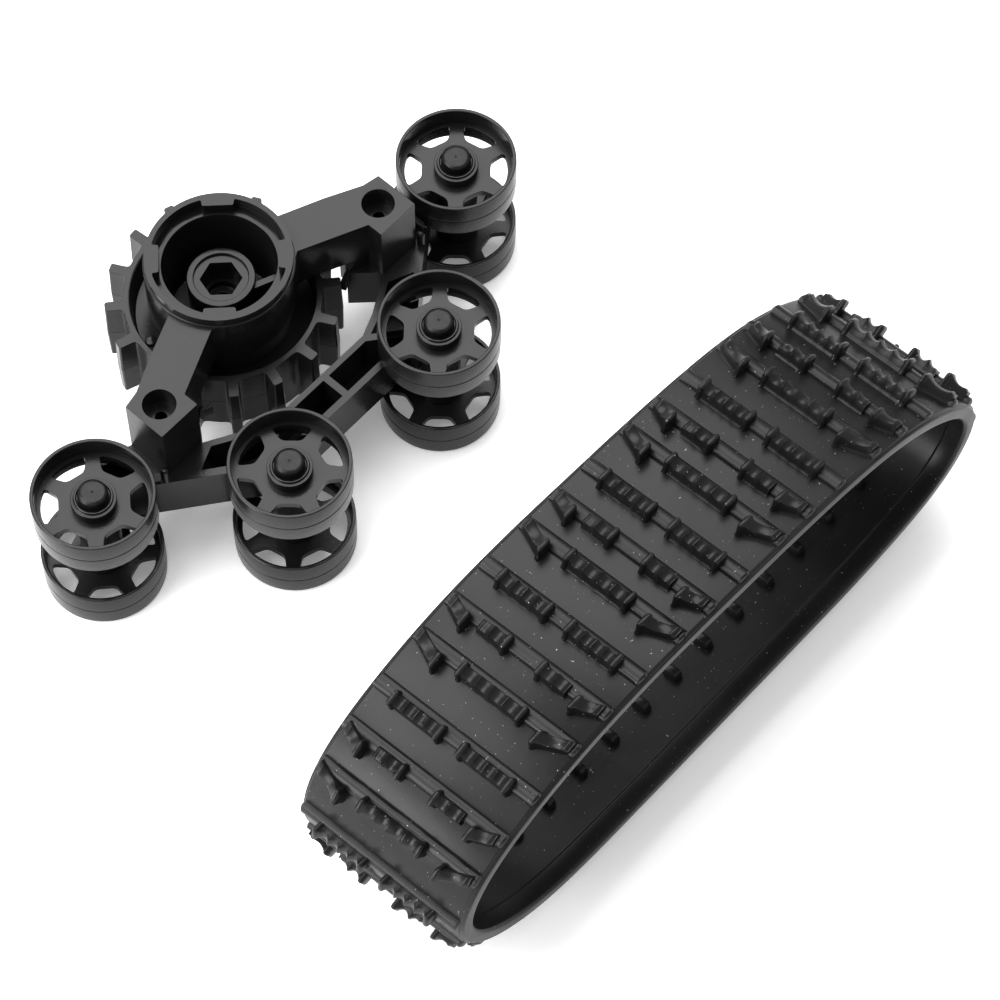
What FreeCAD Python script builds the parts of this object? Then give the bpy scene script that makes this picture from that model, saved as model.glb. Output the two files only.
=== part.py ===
import FreeCAD, Part
import math
import os

import Sketcher

# Tracked drive unit for a scale model vehicle, lying on its side with every axle upright.
# Units are millimetres. +Z runs along the axles, +X from one end of the chassis to the other.
# The origin is inside the drive hub's bore, halfway between the upper and lower road wheels.
# Heights in the sheet and in the sketches count from the ground, which the lower wheels rest on,
# and each placement then lowers its piece by half the height of a pair of wheels.
# The rubber track is off the wheels and lies beside the chassis, with its loop opening along Y.

DRIVING_SIZES = {
    # road wheels, in pairs on four upright axles
    "wheel_radius": 11.5,
    "wheel_width": 8.4,
    "rim_wall": 1.0,
    "web_depth": 3.7,
    "web_thickness": 1.3,
    "wheel_hub_radius": 4.2,
    "wheel_hub_drop": 1.6,
    "hub_step_radius": 3.6,
    "hub_step_drop": 1.1,
    "window_inner_radius": 6.0,
    "window_outer_radius": 9.8,
    "window_inner_half": 1.5,
    "window_outer_half": 3.6,
    "pin_radius": 1.5,
    "pin_head_radius": 2.8,
    "pin_head_rise": 0.7,
    "running_gap": 0.05,
    "pair_width": 28.9,
    "end_axle_x": 48.3,
    "end_axle_y": -14.8,
    "low_axle_x": 19.9,
    "low_axle_y": -36.5,
    # drive hub and toothed ring
    "ring_outer_radius": 13.75,
    "ring_lip_radius": 12.3,
    "ring_top": 35.8,
    "ledge_drop": 2.9,
    "cup_bore_radius": 10.7,
    "cup_floor_radius": 10.2,
    "cup_floor": 16.0,
    "hub_radius": 13.0,
    "hub_bottom": 8.0,
    "lug_reach": 11.0,
    "lug_half_width": 3.0,
    "boss_radius": 6.4,
    "boss_top": 28.5,
    "boss_recess_radius": 5.1,
    "hex_across_flats": 6.9,
    "hex_floor": 22.0,
    "hub_bore_radius": 1.6,
    "tooth_count": 16,
    "tooth_tip_radius": 22.3,
    "tooth_root_radius": 18.6,
    "tooth_half_width": 1.15,
    "toothed_wall": 1.0,
    "toothed_top": 22.3,
    "bowl_floor_depth": 5.6,
    "rivet_radius": 1.1,
    "rivet_circle": 15.2,
    # frame
    "frame_wall": 1.6,
    "bridge_top": 33.9,
    "arm_bottom": 23.2,
    "collar_radius": 14.1,
    "collar_bore": 13.08,
    "pillar_inner_x": 24.3,
    "pillar_outer_x": 33.4,
    "pillar_low_y": -18.1,
    "pillar_high_y": -8.9,
    "hole_x": 28.9,
    "hole_y": -13.0,
    "counterbore_radius": 3.1,
    "counterbore_depth": 4.6,
    "screw_hole_radius": 1.1,
    "rail_bottom": 9.0,
    "rail_top": 19.8,
    "rail_setback": 4.7,
    "axle_boss_radius": 4.0,
    "boss_gap": 0.2,
    "peg_radius": 0.8,
    "peg_height": 3.6,
    # rubber track
    "track_width": 36.0,
    "track_skew": 1.5,
    "track_near_y": -121.4,
    "band_thickness": 3.3,
    "rib_count": 36,
    "rib_length": 4.4,
    "rib_height": 3.0,
    "first_rib": 7.9,
}

doc = FreeCAD.newDocument("tracked_chassis")
sheet = doc.addObject("Spreadsheet::Sheet", "sizes")
for row, (alias, size) in enumerate(DRIVING_SIZES.items(), start=1):
    sheet.set(f"A{row}", alias)
    sheet.set(f"B{row}", str(size))
    sheet.setAlias(f"B{row}", alias)
doc.recompute()


def bound(formula):
    """Write a formula of sheet aliases with the sheet's name in front of every alias."""
    words = formula.replace("(", " ( ").replace(")", " ) ").split()
    return " ".join(f"sizes.{word}" if word in DRIVING_SIZES else word for word in words)


def value(formula):
    """Give the number that a formula of sheet aliases stands for."""
    result = sheet.evalExpression(bound(formula))
    return float(getattr(result, "Value", result))


MID_PLANE = "pair_width / 2"

# ---------------------------------------------------------------- sketch and body helpers


def new_body(label):
    """Start an empty PartDesign body whose label is also its node name."""
    body = doc.addObject("PartDesign::Body", label)
    body.Label = label
    return body


def new_sketch(body, name, plane, height="0"):
    """Attach a sketch to one of the body's own origin planes, raised by a formula."""
    sketch = body.newObject("Sketcher::SketchObject", name)
    planes = [item for item in body.Origin.OriginFeatures if item.Role == plane]
    sketch.AttachmentSupport = [(planes[0], "")]
    sketch.MapMode = "FlatFace"
    if height != "0":
        sketch.setExpression(".AttachmentOffset.Base.z", bound(height))
    return sketch


def pin_point(sketch, edge, place, formulas):
    """Fix a sketch point, coordinate by coordinate, to formulas of the sheet."""
    for kind, axis, formula in zip(("DistanceX", "DistanceY"), (-2, -1), formulas):
        size = value(formula)
        if abs(size) < 1e-9:
            sketch.addConstraint(Sketcher.Constraint("PointOnObject", edge, place, axis))
            continue
        number = sketch.addConstraint(Sketcher.Constraint(kind, -1, 1, edge, place, size))
        sketch.setExpression(f"Constraints[{number}]", bound(formula))


def add_outline(sketch, corners):
    """Draw a closed outline of straight edges through corners given as formulas."""
    points = [FreeCAD.Vector(value(x), value(y), 0) for x, y in corners]
    first = sketch.GeometryCount
    for start, end in zip(points, points[1:] + points[:1]):
        sketch.addGeometry(Part.LineSegment(start, end), False)
    for number, corner in enumerate(corners):
        edge = first + number
        before = first + (number - 1) % len(corners)
        sketch.addConstraint(Sketcher.Constraint("Coincident", before, 2, edge, 1))
        pin_point(sketch, edge, 1, corner)


def add_circle(sketch, centre, radius):
    """Draw a circle whose centre and radius are formulas."""
    middle = FreeCAD.Vector(value(centre[0]), value(centre[1]), 0)
    up = FreeCAD.Vector(0, 0, 1)
    edge = sketch.addGeometry(Part.Circle(middle, up, value(radius)), False)
    pin_point(sketch, edge, 3, centre)
    number = sketch.addConstraint(Sketcher.Constraint("Radius", edge, value(radius)))
    sketch.setExpression(f"Constraints[{number}]", bound(radius))


def revolve(body, name, corners):
    """Turn an outline of (radius, height) corners about the body's own Z axis."""
    sketch = new_sketch(body, f"{name}_section", "XZ_Plane")
    add_outline(sketch, corners)
    feature = body.newObject("PartDesign::Revolution", name)
    feature.Profile = sketch
    feature.ReferenceAxis = (sketch, ["V_Axis"])
    feature.Angle = 360
    return feature


def pad(body, name, sketch, length):
    """Raise a sketch by a formula."""
    feature = body.newObject("PartDesign::Pad", name)
    feature.Profile = sketch
    feature.setExpression("Length", bound(length))
    return feature


def pocket(body, name, sketch, depth=None):
    """Cut a sketch down by a formula, or upwards through everything without one."""
    feature = body.newObject("PartDesign::Pocket", name)
    feature.Profile = sketch
    if depth is None:
        feature.Type = "ThroughAll"
        feature.Reversed = True
    else:
        feature.setExpression("Length", bound(depth))
    return feature


def repeat_round(body, name, features, count):
    """Repeat features about the body's Z axis, and make the pattern the body's tip."""
    pattern = body.newObject("PartDesign::PolarPattern", name)
    axes = [item for item in body.Origin.OriginFeatures if item.Role == "Z_Axis"]
    pattern.Originals = features
    pattern.Axis = (axes[0], [""])
    pattern.Angle = 360
    pattern.Occurrences = count
    body.Tip = pattern
    return pattern


def place(body, x="0", y="0", z="0", turn=0.0, flip=False):
    """Put a body at formulas of the sheet, turned about Z, and face down if flipped."""
    z = f"{z} - {MID_PLANE}"
    spin = FreeCAD.Rotation(FreeCAD.Vector(0, 0, 1), turn)
    if flip:
        spin = spin.multiply(FreeCAD.Rotation(FreeCAD.Vector(1, 0, 0), 180))
    body.Placement = FreeCAD.Placement(FreeCAD.Vector(value(x), value(y), value(z)), spin)
    for axis, formula in (("x", x), ("y", y), ("z", z)):
        body.setExpression(f".Placement.Base.{axis}", bound(formula))


def allow_group(body):
    """Let a body hold several separate solids, for a group of identical pieces."""
    if hasattr(body, "AllowCompound"):
        body.AllowCompound = True


# ---------------------------------------------------------------- road wheels and axles

# Each axle's place, and how far the windows of its upper wheel are turned, in degrees.
AXLES = {
    "front": ("0 - end_axle_x", "end_axle_y", 17.0),
    "front_low": ("0 - low_axle_x", "low_axle_y", 41.6),
    "rear_low": ("low_axle_x", "low_axle_y", 11.6),
    "rear": ("end_axle_x", "end_axle_y", 11.6),
}


def make_wheel(label, x, y, turn, upper):
    """A moulded road wheel: rim, web with six windows, and a stepped hub with a bore."""
    body = new_body(label)
    web_top = "wheel_width - web_depth"
    web_base = "wheel_width - web_depth - web_thickness"
    hub_top = "wheel_width - wheel_hub_drop"
    step_top = "wheel_width - hub_step_drop"
    bore = "pin_radius + running_gap"
    rim_inside = "wheel_radius - rim_wall"
    revolve(body, "turned", [
        (bore, "0"),
        ("wheel_hub_radius", "0"),
        ("wheel_hub_radius", web_base),
        (rim_inside, web_base),
        (rim_inside, "0"),
        ("wheel_radius", "0"),
        ("wheel_radius", "wheel_width"),
        (rim_inside, "wheel_width"),
        (rim_inside, web_top),
        ("wheel_hub_radius", web_top),
        ("wheel_hub_radius", hub_top),
        ("hub_step_radius", hub_top),
        ("hub_step_radius", step_top),
        (bore, step_top),
    ])
    window = new_sketch(body, "window_outline", "XY_Plane")
    add_outline(window, [
        ("window_inner_radius", "0 - window_inner_half"),
        ("window_outer_radius", "0 - window_outer_half"),
        ("window_outer_radius", "window_outer_half"),
        ("window_inner_radius", "window_inner_half"),
    ])
    cut = pocket(body, "window", window)
    repeat_round(body, "windows", [cut], 6)
    if upper:
        place(body, x, y, "pair_width - wheel_width", turn)
    else:
        place(body, x, y, "wheel_width", turn, flip=True)


def make_axle_pin(label, x, y):
    """A headed pin through both wheels and the frame's boss, with a dimple in its head."""
    body = new_body(label)
    head_base = "pair_width - hub_step_drop + boss_gap"
    head_top = "pair_width + pin_head_rise"
    revolve(body, "turned", [
        ("0", "boss_gap"),
        ("pin_radius", "boss_gap"),
        ("pin_radius", head_base),
        ("pin_head_radius", head_base),
        ("pin_head_radius", f"{head_top} - 0.6"),
        ("pin_head_radius - 0.6", head_top),
        ("0", head_top),
    ])
    place(body, x, y)


def make_axle_caps():
    """Four caps pressed on the lower ends of the axle pins, as one group."""
    body = new_body("axle_caps")
    sketch = new_sketch(body, "cap_outlines", "XY_Plane", "boss_gap")
    for x, y, _turn in AXLES.values():
        add_circle(sketch, (x, y), "pin_head_radius")
        add_circle(sketch, (x, y), "pin_radius")
    pad(body, "caps", sketch, "hub_step_drop - 2 * boss_gap")
    allow_group(body)
    place(body)


for side, (axle_x, axle_y, window_turn) in AXLES.items():
    make_wheel(f"{side}_wheel_upper", axle_x, axle_y, window_turn, upper=True)
    make_wheel(f"{side}_wheel_lower", axle_x, axle_y, window_turn + 30, upper=False)
    make_axle_pin(f"{side}_axle_pin", axle_x, axle_y)
make_axle_caps()

# ---------------------------------------------------------------- drive hub and toothed ring

# The teeth stand a little off the row axes, and the rivets stand off the teeth.
TOOTH_TURN = 4.5
RIVET_TURN = 69.5


def make_drive_hub():
    """The cup with its four-lug mouth ring, and the boss with a hexagonal socket inside."""
    body = new_body("drive_hub")
    ledge = "ring_top - ledge_drop"
    ring_base = "bridge_top + 0.1"
    recess = "boss_top - 0.6"
    revolve(body, "turned", [
        ("hub_bore_radius", "hub_bottom"),
        ("boss_radius", "hub_bottom"),
        ("boss_radius", MID_PLANE),
        ("hub_radius", MID_PLANE),
        ("hub_radius", ring_base),
        ("ring_outer_radius", ring_base),
        ("ring_outer_radius", "ring_top"),
        ("ring_lip_radius", "ring_top"),
        ("ring_lip_radius", ledge),
        ("cup_bore_radius", ledge),
        ("cup_floor_radius", "cup_floor"),
        ("boss_radius", "cup_floor"),
        ("boss_radius", "boss_top"),
        ("boss_recess_radius", "boss_top"),
        ("boss_recess_radius", recess),
        ("hub_bore_radius", recess),
    ])
    lug_sketch = new_sketch(body, "lug_outline", "XY_Plane", ledge)
    add_outline(lug_sketch, [
        ("lug_reach", "0 - lug_half_width"),
        ("ring_lip_radius + 0.3", "0 - lug_half_width"),
        ("ring_lip_radius + 0.3", "lug_half_width"),
        ("lug_reach", "lug_half_width"),
    ])
    lug = pad(body, "lug", lug_sketch, "ledge_drop")
    repeat_round(body, "lugs", [lug], 4)
    rib_sketch = new_sketch(body, "rib_outline", "XY_Plane", "cup_floor - 0.2")
    add_outline(rib_sketch, [
        ("boss_radius - 0.3", "0.6"),
        ("boss_radius - 0.3", "-0.6"),
        ("cup_floor_radius + 0.2", "-0.6"),
        ("cup_floor_radius + 0.2", "0.6"),
    ])
    pad(body, "stiffening_rib", rib_sketch, "boss_top - 1.3 - cup_floor")
    socket = new_sketch(body, "socket_outline", "XY_Plane", recess)
    corner_radius = "hex_across_flats / 1.7320508"
    add_outline(socket, [
        (f"{corner_radius} * {round(math.cos(angle), 7)}", f"{corner_radius} * {round(math.sin(angle), 7)}")
        for angle in (math.radians(60 * corner) for corner in range(6))
    ])
    pocket(body, "hex_socket", socket, f"{recess} - hex_floor")
    place(body, turn=-45.0)


def make_sprocket_half(label, flip):
    """Half of the toothed ring: a bowl with a thin wall that carries the teeth outside."""
    body = new_body(label)
    height = "toothed_top - pair_width / 2"
    floor = f"{height} - bowl_floor_depth"
    wall_inside = "tooth_root_radius - toothed_wall"
    inner = "hub_radius + 0.02"
    if flip:
        inner = "boss_radius + 0.02"
    revolve(body, "bowl", [
        (inner, "0"),
        ("tooth_root_radius", "0"),
        ("tooth_root_radius", height),
        (wall_inside, height),
        (f"{wall_inside} - 0.8", floor),
        (inner, floor),
    ])
    tooth_sketch = new_sketch(body, "tooth_outline", "XY_Plane")
    root = "tooth_root_radius - 0.4"
    add_outline(tooth_sketch, [
        (root, "0 - tooth_half_width"),
        ("tooth_tip_radius", "0 - tooth_half_width"),
        ("tooth_tip_radius", "tooth_half_width"),
        (root, "tooth_half_width"),
    ])
    tooth = pad(body, "tooth", tooth_sketch, height)
    teeth = repeat_round(body, "teeth", [tooth], int(value("tooth_count")))
    teeth.setExpression("Occurrences", bound("tooth_count"))
    hole_sketch = new_sketch(body, "rivet_hole_outline", "XY_Plane")
    hole_turn = RIVET_TURN - TOOTH_TURN
    if flip:
        hole_turn = -hole_turn
    add_circle(hole_sketch, (
        f"rivet_circle * {round(math.cos(math.radians(hole_turn)), 7)}",
        f"rivet_circle * {round(math.sin(math.radians(hole_turn)), 7)}",
    ), "rivet_radius")
    hole = pocket(body, "rivet_hole", hole_sketch)
    repeat_round(body, "rivet_holes", [hole], 4)
    place(body, z=MID_PLANE, turn=TOOTH_TURN, flip=flip)


def make_rivets():
    """Four rivets that hold the two halves of the toothed ring together."""
    body = new_body("sprocket_rivets")
    floor = "toothed_top - bowl_floor_depth"
    shank = "2 * toothed_top - 2 * bowl_floor_depth - pair_width"
    sketch = new_sketch(body, "rivet_outlines", "XY_Plane", f"{floor} - ( {shank} ) - 0.5")
    for x, y in (("rivet_circle", "0"), ("0", "rivet_circle"),
                 ("0 - rivet_circle", "0"), ("0", "0 - rivet_circle")):
        add_circle(sketch, (x, y), "rivet_radius")
    pad(body, "rivets", sketch, f"{shank} + 1")
    allow_group(body)
    place(body, turn=RIVET_TURN)


make_drive_hub()
make_sprocket_half("sprocket_upper_half", flip=False)
make_sprocket_half("sprocket_lower_half", flip=True)
make_rivets()

# ---------------------------------------------------------------- frame


def mirrored(corners, side):
    """Give the corners on the +X side as they are, or mirrored to the -X side."""
    if side > 0:
        return corners
    return [(f"0 - ( {x} )", y) for x, y in corners]


def make_bridge():
    """The upper frame: a collar round the hub, two arms, and a pillar at each arm's end."""
    body = new_body("frame_bridge")
    collar = new_sketch(body, "collar_outline", "XY_Plane", "arm_bottom")
    add_circle(collar, ("0", "0"), "collar_radius")
    pad(body, "collar", collar, "bridge_top - arm_bottom")
    for side, name in ((1, "rear"), (-1, "front")):
        arm = new_sketch(body, f"{name}_arm_outline", "XY_Plane", "arm_bottom")
        add_outline(arm, mirrored([
            ("8", "-11.0"),
            ("11.3", "-9.1"),
            ("pillar_inner_x", "-14.9"),
            ("pillar_outer_x", "-14.9"),
            ("pillar_outer_x", "pillar_high_y"),
            ("29.9", "-8.2"),
            ("23.0", "-4.8"),
            ("13.6", "-0.8"),
            ("8", "-1.0"),
        ], side))
        pad(body, f"{name}_arm", arm, "bridge_top - arm_bottom")
        pillar = new_sketch(body, f"{name}_pillar_outline", "XY_Plane", "rail_top")
        add_outline(pillar, mirrored([
            ("pillar_inner_x", "pillar_low_y"),
            ("pillar_outer_x", "pillar_low_y"),
            ("pillar_outer_x", "pillar_high_y"),
            ("pillar_outer_x - frame_wall", "pillar_high_y"),
            ("pillar_inner_x", "pillar_high_y - 1.2"),
        ], side))
        pad(body, f"{name}_pillar", pillar, "bridge_top - rail_top")
        web = new_sketch(body, f"{name}_web_outline", "XY_Plane", "rail_top")
        add_outline(web, mirrored([
            ("pillar_inner_x + 0.5", "-14.9"),
            ("19.9", "-12.9"),
            ("20.5", "-11.5"),
            ("pillar_inner_x + 0.5", "-13.3"),
        ], side))
        pad(body, f"{name}_web", web, "bridge_top - rail_top")
        hollow = new_sketch(body, f"{name}_arm_hollow_outline", "XY_Plane", "arm_bottom")
        add_outline(hollow, mirrored([
            ("12.9", "-8.0"),
            ("23.2", "-12.6"),
            ("23.2", "-6.9"),
            ("14.6", "-2.9"),
        ], side))
        cut = pocket(body, f"{name}_arm_hollow", hollow, "bridge_top - arm_bottom - frame_wall")
        cut.Reversed = True
        hole = new_sketch(body, f"{name}_hole_outline", "XY_Plane")
        add_circle(hole, (f"{side} * hole_x", "hole_y"), "screw_hole_radius")
        pocket(body, f"{name}_hole", hole)
        wide = new_sketch(body, f"{name}_counterbore_outline", "XY_Plane", "bridge_top")
        add_circle(wide, (f"{side} * hole_x", "hole_y"), "counterbore_radius")
        pocket(body, f"{name}_counterbore", wide, "counterbore_depth")
    bore = new_sketch(body, "bore_outline", "XY_Plane")
    add_circle(bore, ("0", "0"), "collar_bore")
    pocket(body, "bore", bore)
    place(body)


def make_rail():
    """The lower frame: an open-topped channel inside the axles, with a boss at each axle."""
    body = new_body("frame_rail")
    # The outer wall follows the line of axles, set back towards the hub.
    low_wall_y = "low_axle_y + rail_setback"
    end_x = "end_axle_x - 2.9"
    end_y = "end_axle_y + 3.7"
    outline = new_sketch(body, "rail_outline", "XY_Plane", "rail_bottom")
    add_outline(outline, [
        ("0 - 18.3", low_wall_y),
        ("18.3", low_wall_y),
        (end_x, end_y),
        ("40.5", "-6.4"),
        ("pillar_outer_x", "pillar_high_y"),
        ("22.8", "-10.6"),
        ("19.9", "-12.9"),
        ("24.8", "-17.9"),
        ("16.6", "-22.5"),
        ("12", "-24.4"),
        ("-12", "-24.4"),
        ("-16.6", "-22.5"),
        ("-24.8", "-17.9"),
        ("-19.9", "-12.9"),
        ("-22.8", "-10.6"),
        ("0 - pillar_outer_x", "pillar_high_y"),
        ("-40.5", "-6.4"),
        (f"0 - ( {end_x} )", end_y),
    ])
    pad(body, "rail", outline, "rail_top - rail_bottom")
    cells = new_sketch(body, "channel_outline", "XY_Plane", "rail_top")
    # Three open cells between the walls, parted by cross ribs.
    add_outline(cells, [
        ("-11.5", "-25.6"),
        ("-17.4", "-30.4"),
        ("0.1", "-30.4"),
        ("0.1", "-25.6"),
    ])
    for side in (1, -1):
        if side > 0:
            add_outline(cells, [
                ("1.6", "-25.6"),
                ("1.6", "-30.4"),
                ("17.4", "-30.4"),
                ("11.5", "-25.6"),
            ])
        add_outline(cells, mirrored([
            ("13.4", "-25.2"),
            ("18.6", "-29.5"),
            ("28.6", "-22.0"),
            ("23.8", "-19.9"),
            ("17.1", "-23.8"),
        ], side))
        add_outline(cells, mirrored([
            ("36.6", "-15.9"),
            ("43.2", "-11.0"),
            ("39.9", "-8.2"),
            ("36.6", "-9.4"),
        ], side))
    pocket(body, "channel", cells, "rail_top - rail_bottom - frame_wall")
    for name, (x, y, _turn) in AXLES.items():
        boss = new_sketch(body, f"{name}_boss_outline", "XY_Plane", "wheel_width + boss_gap")
        add_circle(boss, (x, y), "axle_boss_radius")
        pad(body, f"{name}_boss", boss, "pair_width - 2 * wheel_width - 2 * boss_gap")
    for side, name in ((1, "rear"), (-1, "front")):
        struts = new_sketch(body, f"{name}_strut_outlines", "XY_Plane", "rail_bottom")
        add_outline(struts, mirrored([
            ("low_axle_x - 1.5", "low_axle_y"),
            ("low_axle_x + 1.5", "low_axle_y"),
            ("low_axle_x - 0.1", "low_axle_y + rail_setback + 1"),
            ("low_axle_x - 3.1", "low_axle_y + rail_setback + 1"),
        ], side))
        add_outline(struts, mirrored([
            ("end_axle_x + 1.2", "end_axle_y + 1.2"),
            ("end_axle_x - 1.2", "end_axle_y - 1.2"),
            ("end_axle_x - 5.2", "end_axle_y + 2.8"),
            ("end_axle_x - 4.3", "end_axle_y + 5.2"),
        ], side))
        pad(body, f"{name}_struts", struts, "rail_top - rail_bottom")
    bores = new_sketch(body, "bore_outlines", "XY_Plane")
    for x, y, _turn in AXLES.values():
        add_circle(bores, (x, y), "pin_radius")
    for side in (1, -1):
        add_circle(bores, (f"{side} * hole_x", "hole_y"), "screw_hole_radius")
    pocket(body, "bores", bores)
    for side, name in ((1, "rear"), (-1, "front")):
        fin = new_sketch(body, f"{name}_fin_outline", "XY_Plane", "rail_bottom")
        add_outline(fin, mirrored([
            ("35.3", "-18.4"),
            ("35.3", "-14.0"),
            ("36.4", "-14.0"),
            ("36.4", "-17.6"),
        ], side))
        pad(body, f"{name}_fin", fin, "rail_top - rail_bottom + 3.6")
    place(body)


def make_pegs():
    """Two pegs that stand on the rail's outer wall, one beside each pillar."""
    body = new_body("locating_pegs")
    sketch = new_sketch(body, "peg_outlines", "XY_Plane", "rail_top")
    for side in (1, -1):
        add_circle(sketch, (f"{side} * ( pillar_outer_x + 0.9 )", "pillar_low_y - 0.5"), "peg_radius")
    pad(body, "pegs", sketch, "peg_height")
    allow_group(body)
    place(body)


make_bridge()
make_rail()
make_pegs()

# ---------------------------------------------------------------- rubber track

# The inside of the loop as it sags under its own weight, with the ribs on the ground.
# Points are (x, z) in wheel radii; a closed smooth curve runs through them.
LOOP_SHAPE = [
    (-2.2, 0.56), (0.2, 0.55), (2.6, 0.56), (4.6, 0.74), (5.75, 1.3), (6.03, 2.2), (5.45, 3.18), (4.1, 4.1),
    (2.1, 4.6), (-0.2, 4.8), (-2.4, 4.79), (-4.2, 4.3), (-5.25, 3.5), (-5.52, 2.6), (-5.0, 1.5),
    (-3.9, 0.78),
]


# How far each rib of the repeating pattern of three stands before or behind an even spacing, in mm.
RIB_SHIFTS = (-1.3, 0.0, -0.35)


def loop_frame(curve, distance):
    """Give the point, tangent and outward direction at a distance along the loop."""
    at = curve.parameterAtDistance(distance, curve.FirstParameter)
    tangent = FreeCAD.Vector(*curve.tangent(at)[0])
    return curve.value(at), tangent, FreeCAD.Vector(0, 1, 0).cross(tangent)


def closed_curve(points):
    """Run a smooth closed curve through points."""
    curve = Part.BSplineCurve()
    curve.interpolate(Points=points, PeriodicFlag=True)
    return curve


def make_track():
    """An endless band with a full-width rib at every pitch of its outer side.

    The loop leans a little: its far edge lies further towards -X than its near edge.
    """
    radius = value("wheel_radius")
    near = value("track_near_y")
    thickness = value("band_thickness")
    count = int(value("rib_count"))
    across = FreeCAD.Vector(-value("track_skew"), value("track_width"), 0)
    inner = closed_curve([FreeCAD.Vector(x * radius, near, z * radius) for x, z in LOOP_SHAPE])
    pitch = inner.length() / count
    outer_points = []
    ribs = []
    for number in range(count):
        distance = value("first_rib") + pitch * number
        point, _tangent, outward = loop_frame(inner, distance)
        outer_points.append(point + outward * thickness)
        point, tangent, outward = loop_frame(inner, distance + RIB_SHIFTS[(number + 2) % 3])
        base = point + outward * (thickness - 0.6) - tangent * (value("rib_length") / 2)
        along = tangent * value("rib_length")
        rise = outward * (value("rib_height") + 0.6)
        corners = [base, base + along, base + along + rise, base + rise, base]
        ribs.append(Part.Face(Part.makePolygon(corners)).extrude(across))
    outer = closed_curve(outer_points)
    outside, inside = [Part.Face(Part.Wire([curve.toShape()])).extrude(across)
                       for curve in (outer, inner)]
    track = doc.addObject("Part::Feature", "rubber_track")
    track.Shape = outside.cut(inside).fuse(ribs)
    track.Label = "rubber_track"
    # The lowest rib rests on the ground.
    drop = -track.Shape.BoundBox.ZMin - value(MID_PLANE)
    track.Placement = FreeCAD.Placement(FreeCAD.Vector(0, 0, drop), FreeCAD.Rotation())


make_track()

# ---------------------------------------------------------------- check and export

doc.recompute()
failed = [item.Name for item in doc.Objects if {"Invalid", "Error"} & set(item.State)]
if failed:
    raise RuntimeError(f"objects failed to rebuild: {failed}")

nodes = [item for item in doc.Objects if item.TypeId == "PartDesign::Body"]
nodes.append(doc.getObject("rubber_track"))
os.makedirs("parts", exist_ok=True)
for node in nodes:
    if node.Shape.isNull() or not node.Shape.isValid():
        raise RuntimeError(f"{node.Label} has no valid shape")
    node.Shape.exportStep(f"parts/{node.Label}.step")
    box = node.Shape.BoundBox
    print(f"{node.Label}: {len(node.Shape.Solids)} solids, {node.Shape.Volume:.0f} mm3, "
          f"z {box.ZMin:.2f} to {box.ZMax:.2f}")
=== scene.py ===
import math

import bmesh
import bpy
import numpy as np
from mathutils import Matrix, Vector
from mathutils.geometry import tessellate_polygon


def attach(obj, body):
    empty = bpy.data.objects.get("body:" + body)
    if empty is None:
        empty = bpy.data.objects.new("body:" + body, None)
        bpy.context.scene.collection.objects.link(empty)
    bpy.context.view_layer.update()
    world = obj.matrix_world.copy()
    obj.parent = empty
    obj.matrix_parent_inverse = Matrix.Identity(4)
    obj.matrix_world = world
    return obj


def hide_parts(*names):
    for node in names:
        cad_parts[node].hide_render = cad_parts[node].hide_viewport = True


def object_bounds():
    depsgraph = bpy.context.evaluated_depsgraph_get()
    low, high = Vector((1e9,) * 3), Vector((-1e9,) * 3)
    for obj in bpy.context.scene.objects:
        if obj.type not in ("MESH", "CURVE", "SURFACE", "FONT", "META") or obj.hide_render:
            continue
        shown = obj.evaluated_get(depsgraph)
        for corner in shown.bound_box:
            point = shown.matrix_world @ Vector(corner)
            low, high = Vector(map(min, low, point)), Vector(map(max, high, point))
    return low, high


# A tracked drive unit for a scale model vehicle, lying on its side beside its rubber track.
# Lengths in this script are millimetres and heights count from the ground, as in the part's
# source, until to_row() turns them into the row frame's metres. Angles are degrees.

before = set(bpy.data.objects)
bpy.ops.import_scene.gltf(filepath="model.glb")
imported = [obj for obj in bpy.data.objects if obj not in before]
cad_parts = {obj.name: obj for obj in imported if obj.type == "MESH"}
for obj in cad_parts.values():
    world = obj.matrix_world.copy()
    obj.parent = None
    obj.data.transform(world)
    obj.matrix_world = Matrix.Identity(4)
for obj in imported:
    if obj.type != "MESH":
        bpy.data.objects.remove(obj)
cad_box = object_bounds()

MM = 0.001
GROUND = cad_box[0][2]

# Road wheels: each axle's place, and the turn of its upper wheel's windows.
AXLES = {
    "front": (-48.3, -14.8, 17.0),
    "front_low": (-19.9, -36.5, 41.6),
    "rear_low": (19.9, -36.5, 11.6),
    "rear": (48.3, -14.8, 11.6),
}
PAIR_WIDTH = 28.9
MID_PLANE = PAIR_WIDTH / 2
WHEEL_RADIUS = 11.5
WHEEL_WIDTH = 8.4
RIM_WALL = 1.0
RIM_DRAFT = 0.1
RIM_FLARE = 0.15
GROOVE_HALF_WIDTH = 0.12
GROOVE_DEPTH = 0.14
WEB_DROP = 3.7
WEB_THICKNESS = 1.3
WHEEL_HUB_RADIUS = 4.2
WHEEL_HUB_DROP = 1.6
HUB_STEP_RADIUS = 3.6
HUB_STEP_DROP = 1.1
HUB_RECESS_RADIUS = 3.15
HUB_RECESS_DROP = 1.5
WINDOW_COUNT = 6
WINDOW = [(6.5, -1.9), (9.0, -3.8), (9.6, -2.0), (9.8, 0.0), (9.6, 2.0), (9.0, 3.8), (6.5, 1.9)]

# Axle pins and their caps.
PIN_RADIUS = 1.5
PIN_CLEARANCE = 0.05
PIN_FOOT = 0.2
PIN_HEAD_RADIUS = 2.8
PIN_HEAD_TOP = PAIR_WIDTH + 0.7
PIN_HEAD_BASE = PAIR_WIDTH - 0.9
CAP_TOP = 0.9

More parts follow.
